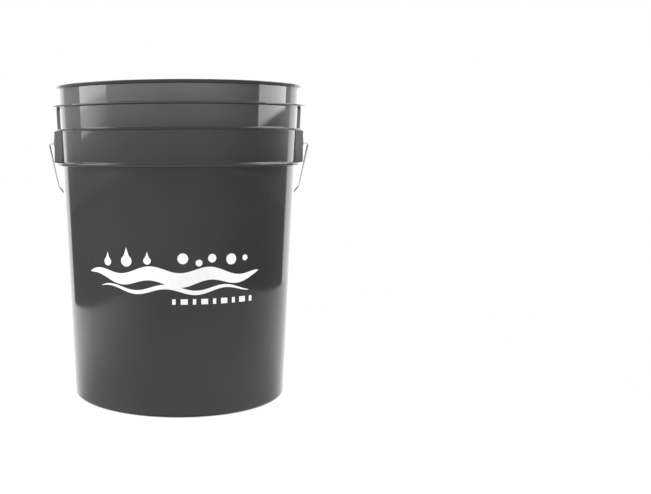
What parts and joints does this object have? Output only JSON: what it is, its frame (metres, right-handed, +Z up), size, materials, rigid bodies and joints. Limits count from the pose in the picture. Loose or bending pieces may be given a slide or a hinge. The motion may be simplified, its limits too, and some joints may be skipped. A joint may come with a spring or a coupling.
{
  "type": "wash bucket",
  "caption": "Open round plastic wash pail with stacking rings, moulded bail ears, a swinging wire bail and a rolling hand grip.",
  "frame": {"origin": "centre of the base, on the surface that the pail stands on", "axes": "+Z up the pail's axis, -Y to the front, +X and -X through the bail ears, the bail resting on the back"},
  "size_m": [0.3246, 0.3195, 0.3775],
  "materials": {
    "pail_plastic": "glossy injection-moulded polyethylene, smoke grey",
    "bail_steel": "bright zinc-plated drawn steel wire",
    "grip_plastic": "satin black moulded plastic",
    "label_paper": "white self-adhesive label stock with plain black bars"
  },
  "bodies": {
    "pail": {"pail_body": "pail_plastic", "barcode_label": "label_paper"},
    "bail": {"bail_wire": "bail_steel"},
    "grip": {"hand_grip": "grip_plastic"}
  },
  "joints": [
    {"name": "bail_swing", "type": "hinge", "parent": "pail", "child": "bail", "pos_m": [0, 0, 0.3105], "axis": [1, 0, 0], "range_deg": [0, 258.4]},
    {"name": "grip_roll", "type": "hinge", "parent": "bail", "child": "grip", "pos_m": [0, 0.15111, 0.18725], "axis": [1, 0, 0], "continuous": true}
  ]
}
